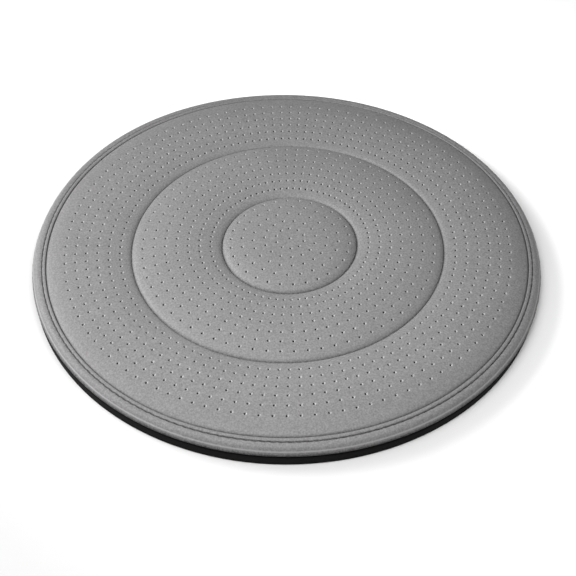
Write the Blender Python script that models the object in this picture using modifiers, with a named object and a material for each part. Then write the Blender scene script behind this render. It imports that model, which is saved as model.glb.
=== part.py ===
"""Swivel seat cushion: a round padded seat that turns on a ball race above a flat non-slip base.

Lengths are in metres. The floor is z = 0, and the swivel axis is the Z axis.
The black base stays still, the ball cage turns at half the seat's speed, and the grey seat turns freely.
"""

import math

import bmesh
import bpy
from mathutils import Matrix

MM = 0.001

# Overall sizes, fits and facets.
SEAT_RADIUS = 200.0 * MM  # grey border band at its widest
BASE_INSET = 0.7 * MM  # black base inside the band
FIT = 0.3 * MM  # air between pieces that touch
SWIVEL_GAP = 0.5 * MM  # air between the turning hem and the base
PLATE_FACETS = 48
PIVOT_FACETS = 24
SHARP_ANGLE = math.radians(32)

# Base cover: non-slip cloth drawn round the lower plate and turned in over its rim.
COVER_CLOTH = 1.0 * MM
COVER_CORNER = 1.8 * MM
COVER_LIP = 6.0 * MM

# Lower plate, moulded in one piece with its rim, race, hub, ribs and bead.
LOWER_WEB = 2.5 * MM
RIM_WIDTH = 5.5 * MM
HUB_RADIUS = 18.0 * MM
LOWER_RACE_RISE = 2.6 * MM
RIB_COUNT = 12
RIB_WIDTH = 2.2 * MM
RIB_RISE = 1.8 * MM
RIB_SINK = 1.0 * MM  # rib ends buried in the walls that they meet
BEAD_INSET = 8.0 * MM  # bead inside the hem's drawcord
BEAD_WIDTH = 3.0 * MM

# Ball race.
RACE_RADIUS = 100.0 * MM
RACE_WALL = 3.4 * MM
BALL_COUNT = 24
BALL_RADIUS = 2.5 * MM
BALL_AIR = 0.35 * MM
CAGE_WIDTH = 11.0 * MM
CAGE_THICKNESS = 1.6 * MM
CAGE_AIR = 0.4 * MM
POCKET_FACETS = 12
BALL_FACETS = (10, 6)  # round the ball, and from pole to pole

# Upper plate, which turns with the seat.
UPPER_WEB = 2.6 * MM
UPPER_RACE_DROP = 0.4 * MM
INNER_STIFFENER = 50.0 * MM
OUTER_STIFFENER_INSET = 52.0 * MM  # outer ring inside the band
STIFFENER_WIDTH = 4.0 * MM
STIFFENER_DROP = 1.0 * MM
PLATE_CHAMFER = 1.0 * MM
PLATE_INSET = 2.0 * MM  # plate's edge inside the band

# Centre pivot: a tubular rivet with its washers and a flanged bush.
RIVET_RADIUS = 5.0 * MM
RIVET_WALL = 1.4 * MM
RIVET_HEAD_RADIUS = 9.5 * MM
RIVET_HEAD = 1.8 * MM
RIVET_FLARE_RADIUS = 8.5 * MM
RIVET_FLARE = 1.0 * MM
BUSH_AIR = 0.08 * MM  # running fit on the rivet
BUSH_WALL = 1.2 * MM
BUSH_FLANGE_RADIUS = 14.0 * MM
BUSH_FLANGE = 1.2 * MM
SLIDE_WASHER_RADIUS = 14.0 * MM
SLIDE_WASHER = 0.8 * MM
PIVOT_WASHER_RADIUS = 13.0 * MM
PIVOT_WASHER = 1.0 * MM

# Foam, padding and top panel with its two pressed grooves.
FOAM_THICKNESS = 3.5 * MM
FOAM_POCKET_AIR = 3.0 * MM
FOAM_INSET = 0.9 * MM  # foam's edge inside the band
PANEL_SKIN = 1.2 * MM
INNER_GROOVE = 53.5 * MM
INNER_GROOVE_PADDING = 3.5 * MM  # padding left under each pressed groove
OUTER_GROOVE = 122.2 * MM
OUTER_GROOVE_PADDING = 1.4 * MM
SEAM_INSET = 11.0 * MM  # seam inside the band
SEAM_DROP = 1.8 * MM  # seam below the outer groove
INNER_CROWN = 6.5 * MM  # rise of each puffed zone above the line between its edges
MIDDLE_CROWN = 5.35 * MM
OUTER_CROWN = 4.5 * MM
INNER_PILLOW = (3.2, 0.64)  # fullness and roundness of each puffed zone
MIDDLE_PILLOW = (2.0, 0.8)
OUTER_PILLOW = (2.2, 0.8)
OUTER_LEAN = 1.2  # above 1 moves the outer zone's peak outwards
SEAM_ALLOWANCE = 6.0 * MM

# Border band, its hem and the cord that draws the hem in.
BAND_LEATHER = 0.9 * MM
FOLD_RISE = 0.7 * MM  # folded edge of the band above the seam
FOLD_WIDTH = 3.3 * MM
STITCH_DROP = 1.5 * MM  # stitch line below the folded edge
SHOULDER_WIDTH = 5.2 * MM
SHOULDER_DROP = 1.2 * MM  # top of the shoulder below the folded edge
SHOULDER_FULLNESS = 1.4
HEM_TURN = 4.0 * MM
HEM_LEATHER = 0.8 * MM
HEM_WIDTH = 21.0 * MM
CORD_RADIUS = 0.7 * MM

# Heights of the stack, from the floor up.
LOWER_BOTTOM = COVER_CLOTH + FIT
LOWER_TOP = LOWER_BOTTOM + LOWER_WEB
LOWER_RACE_TOP = LOWER_TOP + LOWER_RACE_RISE
CAGE_BOTTOM = LOWER_RACE_TOP + CAGE_AIR
BALL_HEIGHT = CAGE_BOTTOM + CAGE_THICKNESS / 2
UPPER_RACE_BOTTOM = CAGE_BOTTOM + CAGE_THICKNESS + CAGE_AIR
UPPER_BOTTOM = UPPER_RACE_BOTTOM + UPPER_RACE_DROP
UPPER_TOP = UPPER_BOTTOM + UPPER_WEB
BUSH_BOTTOM = LOWER_RACE_TOP + FIT
BUSH_SHOULDER = BUSH_BOTTOM + BUSH_FLANGE
SLIDE_BOTTOM = UPPER_TOP + FIT
WASHER_BOTTOM = SLIDE_BOTTOM + SLIDE_WASHER + FIT
FLARE_BOTTOM = WASHER_BOTTOM + PIVOT_WASHER + FIT
HEM_TOP = UPPER_BOTTOM - FIT
HEM_BOTTOM = HEM_TOP - HEM_LEATHER
LIP_TOP = HEM_BOTTOM - SWIVEL_GAP
RIM_TOP = LIP_TOP - COVER_CLOTH - FIT
FOAM_BOTTOM = UPPER_TOP + FIT
BAND_WIDEST = FOAM_BOTTOM
FOAM_TOP = FOAM_BOTTOM + FOAM_THICKNESS
PADDING_BOTTOM = FOAM_TOP + FIT
INNER_GROOVE_HEIGHT = PADDING_BOTTOM + INNER_GROOVE_PADDING + FIT + PANEL_SKIN
OUTER_GROOVE_HEIGHT = PADDING_BOTTOM + OUTER_GROOVE_PADDING + FIT + PANEL_SKIN
SEAM_HEIGHT = OUTER_GROOVE_HEIGHT - SEAM_DROP

# Radii that follow from the sizes above.
BASE_RADIUS = SEAT_RADIUS - BASE_INSET
SEAM_RADIUS = SEAT_RADIUS - SEAM_INSET
CORD_RING = SEAT_RADIUS - HEM_WIDTH
BEAD_RADIUS = CORD_RING - BEAD_INSET
OUTER_STIFFENER = SEAT_RADIUS - OUTER_STIFFENER_INSET
LOWER_RADIUS = BASE_RADIUS - COVER_CLOTH - FIT
BUSH_RADIUS = RIVET_RADIUS + BUSH_AIR + BUSH_WALL
BALL_SEAT = BALL_RADIUS + BALL_AIR
RACE_INSIDE = RACE_RADIUS - BALL_SEAT - RACE_WALL
RACE_OUTSIDE = RACE_RADIUS + BALL_SEAT + RACE_WALL
UPPER_RADIUS = SEAT_RADIUS - BAND_LEATHER - PLATE_INSET
FOAM_RADIUS = SEAT_RADIUS - BAND_LEATHER - FOAM_INSET
CORD_CHANNEL = CORD_RADIUS + FIT
FOLD_END = SEAM_RADIUS + SEAM_ALLOWANCE


def clear_scene():
    """Remove every object, so the script can be run again in the same file."""
    for thing in list(bpy.data.objects):
        bpy.data.objects.remove(thing, do_unlink=True)
    for group in list(bpy.data.collections):
        bpy.data.collections.remove(group)


def new_collection(name):
    """Make a collection under the scene's own."""
    group = bpy.data.collections.new(name)
    bpy.context.scene.collection.children.link(group)
    return group


def new_material(name, colour, roughness, metallic=0.0):
    """Make a Principled material of one colour."""
    material = bpy.data.materials.new(name)
    material.use_nodes = True
    shader = material.node_tree.nodes["Principled BSDF"]
    shader.inputs["Base Color"].default_value = (*colour, 1.0)
    shader.inputs["Roughness"].default_value = roughness
    shader.inputs["Metallic"].default_value = metallic
    material.diffuse_color = (*colour, 1.0)
    return material


def new_axis(name, parent=None):
    """Make an empty on the swivel axis for a body's pieces to hang from."""
    empty = bpy.data.objects.new(name, None)
    empty.empty_display_size = 0.05
    empty.parent = parent
    PARTS.objects.link(empty)
    return empty


def turned(name, profile, facets, closed=True, height=0.0):
    """Turn a profile of (radius, height) points round the Z axis, its outer side running down."""
    count = len(profile)
    edges = [(i, i + 1) for i in range(count - 1)]
    if closed:
        edges.append((count - 1, 0))
    mesh = bpy.data.meshes.new(name)
    mesh.from_pydata([(radius, 0.0, z - height) for radius, z in profile], edges, [])
    piece = bpy.data.objects.new(name, mesh)
    piece.location = (0.0, 0.0, height)
    PARTS.objects.link(piece)
    screw = piece.modifiers.new("turn", "SCREW")
    screw.axis = "Z"
    screw.angle = 2 * math.pi
    screw.steps = facets
    screw.render_steps = facets
    screw.use_merge_vertices = True
    screw.merge_threshold = 0.00001
    return piece


def arc(radius, height, size, start, end, points):
    """Points on an arc about (radius, height), from start to end in degrees."""
    turn = [math.radians(start + (end - start) * i / (points - 1)) for i in range(points)]
    return [(radius + size * math.cos(a), height + size * math.sin(a)) for a in turn]


def make_tool(name, mesh):
    """Wrap a mesh as a hidden tool for a Boolean."""
    tool = bpy.data.objects.new(name, mesh)
    tool.hide_render = True
    tool.display_type = "WIRE"
    TOOLS.objects.link(tool)
    return tool


def combine(piece, tool, operation):
    """Cut or join a piece with a tool."""
    step = piece.modifiers.new(tool.name, "BOOLEAN")
    step.operation = operation
    step.solver = "EXACT"
    step.object = tool


def finish(piece, material, parent):
    """Apply the modifiers, smooth the round faces, keep the corners crisp and hang the piece."""
    bpy.context.view_layer.update()
    graph = bpy.context.evaluated_depsgraph_get()
    mesh = bpy.data.meshes.new_from_object(piece.evaluated_get(graph))
    mesh.name = piece.name
    piece.modifiers.clear()
    piece.data = mesh
    mesh.shade_smooth()
    mesh.set_sharp_from_angle(angle=SHARP_ANGLE)
    mesh.materials.clear()
    mesh.materials.append(material)
    piece.parent = parent
    return piece


def pillow(share, fullness, roundness):
    """Height of a puffed zone, 0 at both edges and 1 in between, at a share of its width."""
    return (1.0 - abs(2.0 * share - 1.0) ** fullness) ** roundness


def between(start, end, share):
    """The value at a share of the way from start to end."""
    return start + (end - start) * share


def crown(radius):
    """Height of the top panel at a radius: three puffed zones between two pressed grooves."""
    if radius <= INNER_GROOVE:
        share = radius / INNER_GROOVE
        return INNER_GROOVE_HEIGHT + INNER_CROWN * pillow(0.5 + 0.5 * share, *INNER_PILLOW)
    if radius <= OUTER_GROOVE:
        share = (radius - INNER_GROOVE) / (OUTER_GROOVE - INNER_GROOVE)
        line = between(INNER_GROOVE_HEIGHT, OUTER_GROOVE_HEIGHT, share)
        return line + MIDDLE_CROWN * pillow(share, *MIDDLE_PILLOW)
    share = (radius - OUTER_GROOVE) / (SEAM_RADIUS - OUTER_GROOVE)
    line = between(OUTER_GROOVE_HEIGHT, SEAM_HEIGHT, share)
    return line + OUTER_CROWN * pillow(share ** OUTER_LEAN, *OUTER_PILLOW)


def crown_radii():
    """Radii that shape the panel and the top of the padding alike, short of the seam."""
    return (
        [between(0.0, INNER_GROOVE, share) for share in (0.5, 0.84, 1.0)]
        + [between(INNER_GROOVE, OUTER_GROOVE, share) for share in (0.12, 0.5, 0.88, 1.0)]
        + [between(OUTER_GROOVE, SEAM_RADIUS, share) for share in (0.15, 0.5, 0.87)]
    )


def make_base_cover():
    """Non-slip cloth: a flat underside, an upright edge and a lip turned in over the rim."""
    side = BASE_RADIUS - COVER_CORNER
    inside = COVER_CORNER - COVER_CLOTH
    lip_end = BASE_RADIUS - COVER_LIP
    profile = [(0.0, COVER_CLOTH)]
    profile += arc(side, COVER_CORNER, inside, -90, 0, 3)
    profile += arc(side, LIP_TOP - COVER_CORNER, inside, 0, 90, 3)
    profile += [(lip_end, LIP_TOP - COVER_CLOTH), (lip_end, LIP_TOP)]
    profile += arc(side, LIP_TOP - COVER_CORNER, COVER_CORNER, 90, 0, 4)
    profile += arc(side, COVER_CORNER, COVER_CORNER, 0, -90, 4)
    profile += [(0.0, 0.0)]
    return turned("base_cover", profile, PLATE_FACETS, closed=False)


def make_ribs():
    """Radial ribs of the lower plate, from its hub to its race and from its race to its bead."""
    bm = bmesh.new()
    sink = LOWER_WEB / 2
    spans = (
        (HUB_RADIUS - RIB_SINK, RACE_INSIDE + RIB_SINK),
        (RACE_OUTSIDE - RIB_SINK, BEAD_RADIUS),
    )
    for start, end in spans:
        for index in range(RIB_COUNT):
            angle = 2 * math.pi * (index + 0.5) / RIB_COUNT
            rib = bmesh.ops.create_cube(bm, size=1.0)["verts"]
            size = (end - start, RIB_WIDTH, RIB_RISE + sink)
            bmesh.ops.scale(bm, vec=size, verts=rib)
            place = ((start + end) / 2, 0.0, LOWER_TOP - sink + size[2] / 2)
            bmesh.ops.translate(bm, vec=place, verts=rib)
            turn = Matrix.Rotation(angle, 3, "Z")
            bmesh.ops.rotate(bm, cent=(0.0, 0.0, 0.0), matrix=turn, verts=rib)
    mesh = bpy.data.meshes.new("ribs")
    bm.to_mesh(mesh)
    bm.free()
    return make_tool("ribs", mesh)


def race_groove(side):
    """Groove that the balls run in, opening up (side 1) in the lower race or down (side -1)."""
    mouth = LOWER_RACE_TOP if side > 0 else UPPER_RACE_BOTTOM
    dip = math.degrees(math.asin(abs(BALL_HEIGHT - mouth) / BALL_SEAT))
    if side > 0:
        return arc(RACE_RADIUS, BALL_HEIGHT, BALL_SEAT, 180 + dip, 360 - dip, 6)
    return arc(RACE_RADIUS, BALL_HEIGHT, BALL_SEAT, dip, 180 - dip, 6)


def make_lower_plate():
    """Rigid base plate with its hub, ribs, ball race, bead and rim."""
    inside = COVER_CORNER - COVER_CLOTH - FIT
    bore = RIVET_RADIUS + FIT
    head = RIVET_HEAD_RADIUS + 2 * FIT
    head_seat = LOWER_BOTTOM + RIVET_HEAD + FIT
    bead_inside = BEAD_RADIUS - BEAD_WIDTH / 2
    bead_outside = BEAD_RADIUS + BEAD_WIDTH / 2
    bead_top = LOWER_TOP + RIB_RISE
    rim_inside = LOWER_RADIUS - RIM_WIDTH
    profile = [(bore, LOWER_RACE_TOP), (HUB_RADIUS, LOWER_RACE_TOP), (HUB_RADIUS, LOWER_TOP)]
    profile += [(RACE_INSIDE, LOWER_TOP), (RACE_INSIDE, LOWER_RACE_TOP)]
    profile += race_groove(1)
    profile += [(RACE_OUTSIDE, LOWER_RACE_TOP), (RACE_OUTSIDE, LOWER_TOP)]
    profile += [(bead_inside, LOWER_TOP), (bead_inside, bead_top)]
    profile += [(bead_outside, bead_top), (bead_outside, LOWER_TOP)]
    profile += [(rim_inside, LOWER_TOP), (rim_inside, RIM_TOP)]
    profile += [(LOWER_RADIUS - inside, RIM_TOP), (LOWER_RADIUS, RIM_TOP - inside)]
    profile += [(LOWER_RADIUS, LOWER_BOTTOM + inside), (LOWER_RADIUS - inside, LOWER_BOTTOM)]
    profile += [(head, LOWER_BOTTOM), (head, head_seat), (bore, head_seat)]
    plate = turned("lower_plate", profile, PLATE_FACETS, height=LOWER_BOTTOM)
    combine(plate, make_ribs(), "UNION")
    return plate


def stiffener(radius):
    """Section of a stiffening ring under the upper plate, from its outer side to its inner."""
    inside = radius - STIFFENER_WIDTH / 2
    outside = radius + STIFFENER_WIDTH / 2
    drop = UPPER_BOTTOM - STIFFENER_DROP
    return [(outside, UPPER_BOTTOM), (outside, drop), (inside, drop), (inside, UPPER_BOTTOM)]


def make_upper_plate():
    """Turning plate with its ball race, hub, two stiffening rings and chamfered edge."""
    bore = BUSH_RADIUS + FIT
    hub_bottom = BUSH_SHOULDER + FIT
    profile = [(bore, UPPER_TOP), (UPPER_RADIUS, UPPER_TOP)]
    profile += [(UPPER_RADIUS, UPPER_BOTTOM + PLATE_CHAMFER)]
    profile += [(UPPER_RADIUS - PLATE_CHAMFER, UPPER_BOTTOM)]
    profile += stiffener(OUTER_STIFFENER)
    profile += [(RACE_OUTSIDE, UPPER_BOTTOM), (RACE_OUTSIDE, UPPER_RACE_BOTTOM)]
    profile += race_groove(-1)
    profile += [(RACE_INSIDE, UPPER_RACE_BOTTOM), (RACE_INSIDE, UPPER_BOTTOM)]
    profile += stiffener(INNER_STIFFENER)
    profile += [(HUB_RADIUS, UPPER_BOTTOM), (HUB_RADIUS, hub_bottom), (bore, hub_bottom)]
    return turned("upper_plate", profile, PLATE_FACETS, height=UPPER_BOTTOM)


def make_ball_cage():
    """Flat ring with a round pocket for each ball."""
    inner = RACE_RADIUS - CAGE_WIDTH / 2
    outer = RACE_RADIUS + CAGE_WIDTH / 2
    top = CAGE_BOTTOM + CAGE_THICKNESS
    profile = [(inner, top), (outer, top), (outer, CAGE_BOTTOM), (inner, CAGE_BOTTOM)]
    cage = turned("ball_cage", profile, PLATE_FACETS, height=CAGE_BOTTOM)
    bm = bmesh.new()
    for x, y in ball_places():
        pocket = bmesh.ops.create_cone(
            bm,
            cap_ends=True,
            segments=POCKET_FACETS,
            radius1=BALL_SEAT,
            radius2=BALL_SEAT,
            depth=3 * CAGE_THICKNESS,
        )["verts"]
        bmesh.ops.translate(bm, vec=(x, y, BALL_HEIGHT), verts=pocket)
    mesh = bpy.data.meshes.new("pockets")
    bm.to_mesh(mesh)
    bm.free()
    combine(cage, make_tool("pockets", mesh), "DIFFERENCE")
    return cage


def ball_places():
    """Centres of the balls round the race."""
    turns = [2 * math.pi * index / BALL_COUNT for index in range(BALL_COUNT)]
    return [(RACE_RADIUS * math.cos(a), RACE_RADIUS * math.sin(a)) for a in turns]


def make_balls(material, parent):
    """Steel balls, each with its origin at its centre and its poles towards the swivel axis."""
    bm = bmesh.new()
    around, along = BALL_FACETS
    bmesh.ops.create_uvsphere(bm, u_segments=around, v_segments=along, radius=BALL_RADIUS)
    mesh = bpy.data.meshes.new("ball")
    bm.to_mesh(mesh)
    bm.free()
    mesh.shade_smooth()
    mesh.materials.append(material)
    for index, (x, y) in enumerate(ball_places()):
        ball = bpy.data.objects.new(f"ball_{index + 1:02d}", mesh)
        ball.location = (x, y, BALL_HEIGHT)
        ball.rotation_euler = (0.0, math.pi / 2, math.atan2(y, x))
        ball.parent = parent
        PARTS.objects.link(ball)


def make_pivot_rivet():
    """Tubular rivet, its head in the lower plate and its flared end on the pivot washer."""
    bore = RIVET_RADIUS - RIVET_WALL
    flare_top = FLARE_BOTTOM + RIVET_FLARE
    head_top = LOWER_BOTTOM + RIVET_HEAD
    edge = RIVET_FLARE / 3
    profile = [(bore + edge, flare_top), (RIVET_FLARE_RADIUS - edge, flare_top)]
    profile += [(RIVET_FLARE_RADIUS, flare_top - edge), (RIVET_FLARE_RADIUS, FLARE_BOTTOM)]
    profile += [(RIVET_RADIUS, FLARE_BOTTOM), (RIVET_RADIUS, head_top)]
    profile += [(RIVET_HEAD_RADIUS, head_top), (RIVET_HEAD_RADIUS, LOWER_BOTTOM + edge)]
    profile += [(RIVET_HEAD_RADIUS - edge, LOWER_BOTTOM), (bore, LOWER_BOTTOM)]
    profile += [(bore, flare_top - edge)]
    return turned("pivot_rivet", profile, PIVOT_FACETS, height=LOWER_BOTTOM)


def make_pivot_bush():
    """Flanged bush that lines the upper plate's bore and runs on the rivet."""
    bore = RIVET_RADIUS + BUSH_AIR
    profile = [(bore, UPPER_TOP), (BUSH_RADIUS, UPPER_TOP), (BUSH_RADIUS, BUSH_SHOULDER)]
    profile += [(BUSH_FLANGE_RADIUS, BUSH_SHOULDER), (BUSH_FLANGE_RADIUS, BUSH_BOTTOM)]
    profile += [(bore, BUSH_BOTTOM)]
    return turned("pivot_bush", profile, PIVOT_FACETS, height=BUSH_BOTTOM)


def make_washer(name, bottom, thickness, radius):
    """Flat washer round the rivet."""
    bore = RIVET_RADIUS + FIT
    top = bottom + thickness
    profile = [(bore, top), (radius, top), (radius, bottom), (bore, bottom)]
    return turned(name, profile, PIVOT_FACETS, height=bottom)


def make_foam_core():
    """Firm foam disc on the upper plate, cut away over the pivot and sloped under the seam."""
    pocket = max(SLIDE_WASHER_RADIUS, PIVOT_WASHER_RADIUS) + FOAM_POCKET_AIR
    flat_end = SEAM_RADIUS - 3 * PANEL_SKIN
    under_seam = allowance_height(SEAM_RADIUS) - PANEL_SKIN - FIT
    under_fold = allowance_height(FOLD_END) - PANEL_SKIN - FIT
    profile = [(pocket, FOAM_TOP), (flat_end, FOAM_TOP)]
    profile += [(SEAM_RADIUS - PANEL_SKIN, under_seam), (FOLD_END, under_fold)]
    profile += [(FOAM_RADIUS, FOAM_BOTTOM), (pocket, FOAM_BOTTOM)]
    return turned("foam_core", profile, PLATE_FACETS, height=FOAM_BOTTOM)


def make_panel_padding():
    """Soft padding under the panel, which puffs up between the pressed grooves."""
    down = PANEL_SKIN + FIT
    edge = SEAM_RADIUS - PANEL_SKIN - FIT
    profile = [(r, crown(r) - down) for r in [0.0] + crown_radii() + [edge]]
    profile += [(edge, PADDING_BOTTOM), (0.0, PADDING_BOTTOM)]
    return turned("panel_padding", profile, PLATE_FACETS, closed=False, height=PADDING_BOTTOM)


def allowance_height(radius):
    """Top of the panel's seam allowance, which lies sloped under the band's folded edge."""
    share = (radius - SEAM_RADIUS) / SEAM_ALLOWANCE
    return SEAM_HEIGHT + FOLD_RISE - 2 * BAND_LEATHER - FIT - BAND_LEATHER * share


def make_top_panel():
    """Top panel with its crown and grooves, and its edge turned out under the seam."""
    fold_edge = FOLD_END - FIT
    inside = SEAM_RADIUS - PANEL_SKIN
    profile = [(r, crown(r)) for r in [0.0] + crown_radii() + [SEAM_RADIUS]]
    profile += [(SEAM_RADIUS, allowance_height(SEAM_RADIUS))]
    profile += [(fold_edge, allowance_height(fold_edge))]
    profile += [(fold_edge, allowance_height(fold_edge) - PANEL_SKIN)]
    profile += [(inside, allowance_height(SEAM_RADIUS) - PANEL_SKIN)]
    profile += [(r, crown(r) - PANEL_SKIN) for r in [inside] + crown_radii()[::-1] + [0.0]]
    return turned("top_panel", profile, PLATE_FACETS, closed=False)


def corner(radius, height, reach, rise, angles, fullness=2.0):
    """Points on a rounded corner about (radius, height), an ellipse at fullness 2."""
    points = []
    for angle in angles:
        out = math.cos(math.radians(angle)) ** (2 / fullness)
        up = math.sin(math.radians(angle))
        up = math.copysign(abs(up) ** (2 / fullness), up)
        points.append((radius + reach * out, height + rise * up))
    return points


def make_border_band():
    """Border band: folded edge at the seam, rolled shoulder, hem under the plate, cord channel."""
    fold_start = SEAM_RADIUS + FIT
    ridge = SEAM_HEIGHT + FOLD_RISE
    stitch_line = fold_start + FOLD_WIDTH
    shoulder = SEAT_RADIUS - SHOULDER_WIDTH
    shoulder_rise = ridge - SHOULDER_DROP - BAND_WIDEST
    hem_turn = SEAT_RADIUS - HEM_TURN
    hem_drop = BAND_WIDEST - HEM_BOTTOM
    channel_height = HEM_BOTTOM - CORD_CHANNEL

    # Outer side, from the fold at the seam down to the hem.
    profile = [(fold_start, ridge - BAND_LEATHER), (fold_start + BAND_LEATHER, ridge)]
    profile += [(stitch_line, ridge - STITCH_DROP)]
    outer = (90, 62, 36, 14)
    profile += corner(shoulder, BAND_WIDEST, SHOULDER_WIDTH, shoulder_rise, outer, SHOULDER_FULLNESS)
    profile += corner(hem_turn, BAND_WIDEST, HEM_TURN, hem_drop, (0, -45, -90))
    # Channel round the cord, open towards the rim.
    profile += arc(CORD_RING, channel_height, CORD_CHANNEL, 90, 290, 4)
    profile += arc(CORD_RING, channel_height, CORD_CHANNEL + HEM_LEATHER, 290, 90, 5)
    # Inner side, back up to the fold.
    reach = HEM_TURN - BAND_LEATHER
    profile += corner(hem_turn, BAND_WIDEST, reach, hem_drop - HEM_LEATHER, (-90, -45, 0))
    reach = SHOULDER_WIDTH - BAND_LEATHER
    rise = shoulder_rise - BAND_LEATHER
    profile += corner(shoulder, BAND_WIDEST, reach, rise, (36,), SHOULDER_FULLNESS)
    profile += [(FOLD_END, allowance_height(FOLD_END) + FIT)]
    profile += [(fold_start, allowance_height(SEAM_RADIUS) + FIT)]
    return turned("border_band", profile, PLATE_FACETS)


def make_hem_drawcord():
    """Elastic cord that draws the hem in under the upper plate."""
    profile = arc(CORD_RING, HEM_BOTTOM - CORD_CHANNEL, CORD_RADIUS, 90, -210, 6)
    return turned("hem_drawcord", profile, PLATE_FACETS)


clear_scene()
PARTS = new_collection("swivel_seat_cushion")
TOOLS = new_collection("cutters")

GREY_LEATHER = new_material("grey_leather", (0.30, 0.295, 0.298), 0.52)
BLACK_CLOTH = new_material("black_grip_cloth", (0.012, 0.012, 0.011), 0.75)
BLACK_PLASTIC = new_material("black_moulding", (0.025, 0.025, 0.027), 0.45)
WHITE_NYLON = new_material("white_nylon", (0.72, 0.71, 0.66), 0.4)
BRIGHT_STEEL = new_material("bright_steel", (0.62, 0.62, 0.64), 0.22, 1.0)
ZINC_STEEL = new_material("zinc_steel", (0.55, 0.55, 0.53), 0.38, 1.0)
GREY_FOAM = new_material("grey_foam", (0.16, 0.16, 0.17), 0.95)
WHITE_PADDING = new_material("white_padding", (0.74, 0.73, 0.68), 0.95)
BLACK_ELASTIC = new_material("black_elastic", (0.03, 0.03, 0.03), 0.8)

base_axis = new_axis("base_axis")
cage_axis = new_axis("cage_axis", base_axis)
seat_axis = new_axis("seat_axis", base_axis)

finish(make_base_cover(), BLACK_CLOTH, base_axis)
finish(make_lower_plate(), BLACK_PLASTIC, base_axis)
finish(make_pivot_rivet(), ZINC_STEEL, base_axis)
slide_washer = make_washer("slide_washer", SLIDE_BOTTOM, SLIDE_WASHER, SLIDE_WASHER_RADIUS)
finish(slide_washer, WHITE_NYLON, base_axis)
pivot_washer = make_washer("pivot_washer", WASHER_BOTTOM, PIVOT_WASHER, PIVOT_WASHER_RADIUS)
finish(pivot_washer, ZINC_STEEL, base_axis)

finish(make_ball_cage(), WHITE_NYLON, cage_axis)
make_balls(BRIGHT_STEEL, cage_axis)

finish(make_upper_plate(), BLACK_PLASTIC, seat_axis)
finish(make_pivot_bush(), WHITE_NYLON, seat_axis)
finish(make_foam_core(), GREY_FOAM, seat_axis)
finish(make_panel_padding(), WHITE_PADDING, seat_axis)
finish(make_top_panel(), GREY_LEATHER, seat_axis)
finish(make_border_band(), GREY_LEATHER, seat_axis)
finish(make_hem_drawcord(), BLACK_ELASTIC, seat_axis)
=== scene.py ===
"""Looks of the swivel seat cushion: finishes, perforated panel, stitched band, grip cloth and studio.

Lengths are in metres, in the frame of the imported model: the floor is z = 0 and the swivel axis is Z.
"""

import math

import bmesh
import bpy
from mathutils import Matrix, Vector, noise


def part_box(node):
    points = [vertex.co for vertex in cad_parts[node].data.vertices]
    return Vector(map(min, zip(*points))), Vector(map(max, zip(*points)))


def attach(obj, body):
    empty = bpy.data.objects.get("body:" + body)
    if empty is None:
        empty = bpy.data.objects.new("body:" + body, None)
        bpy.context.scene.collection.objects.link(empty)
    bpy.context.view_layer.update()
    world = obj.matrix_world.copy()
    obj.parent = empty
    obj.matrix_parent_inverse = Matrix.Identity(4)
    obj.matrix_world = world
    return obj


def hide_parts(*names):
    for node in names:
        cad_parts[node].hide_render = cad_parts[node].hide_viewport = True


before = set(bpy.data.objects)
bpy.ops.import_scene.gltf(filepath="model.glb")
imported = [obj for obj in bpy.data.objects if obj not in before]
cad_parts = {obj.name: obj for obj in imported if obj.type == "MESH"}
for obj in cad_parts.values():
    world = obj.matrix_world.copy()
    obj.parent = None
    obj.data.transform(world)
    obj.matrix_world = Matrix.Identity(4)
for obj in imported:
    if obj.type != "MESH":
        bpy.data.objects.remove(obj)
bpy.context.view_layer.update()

MM = 0.001
TURN = 2 * math.pi
UP = Vector((0.0, 0.0, 1.0))
SECTORS = 24  # a turned piece is spun as one sector and copied round

# Sizes shared with the solids.
SEAT_RADIUS = 200.0 * MM
SEAM_RADIUS = 189.0 * MM
SEAM_HEIGHT = 17.0 * MM
INNER_GROOVE = 53.5 * MM
INNER_GROOVE_HEIGHT = 21.4 * MM
OUTER_GROOVE = 122.2 * MM
OUTER_GROOVE_HEIGHT = 19.4 * MM
INNER_CROWN = 5.9 * MM
MIDDLE_CROWN = 4.8 * MM
OUTER_CROWN = 3.9 * MM
INNER_PILLOW = (3.2, 0.64)
MIDDLE_PILLOW = (2.0, 0.8)
OUTER_PILLOW = (2.6, 0.85)
OUTER_LEAN = 1.2
PANEL_SKIN = 1.2 * MM
FIT = 0.3 * MM
PADDING_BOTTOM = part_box("panel_padding")[0].z
FOAM_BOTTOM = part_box("foam_core")[0].z
FOAM_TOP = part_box("foam_core")[1].z
BAND_BOTTOM = 8.1 * MM
BAND_WIDEST = 10.9 * MM
BASE_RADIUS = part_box("base_cover")[1].x
LIP_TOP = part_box("base_cover")[1].z
CORD_RING = 179.0 * MM  # the drawcord's ring, its height and its thickness
CORD_HEIGHT = 7.1 * MM
CORD_RADIUS = 0.7 * MM
CORD_PUCKERS = ((24, 0.12 * MM), (17, 0.1 * MM))  # waves round the ring and their size: outwards, upwards

# Pressed grooves and the panel's turned edge.
GROOVE_CUT = 1.6 * MM  # extra depth of the pressed line
GROOVE_FLANK = 1.1 * MM  # reach of the steep flanks beside it
EDGE_DROP = 1.2 * MM  # panel's steep drop into the seam
EDGE_FLANK = 0.55 * MM
SEAM_ALLOWANCE = 5.7 * MM  # turned under the band
ALLOWANCE_BOTTOM = 14.0 * MM
ALLOWANCE_FALL = 0.9 * MM
PANEL_COLUMNS = 240
PATTERN_OFFSET = Vector((2.45 * MM, -0.5 * MM))  # grooves and holes sit off the swivel axis
OFFSET_INSIDE = 60.0 * MM  # full offset up to this radius, and none at the seam
OFFSET_FALL = 1.6

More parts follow.
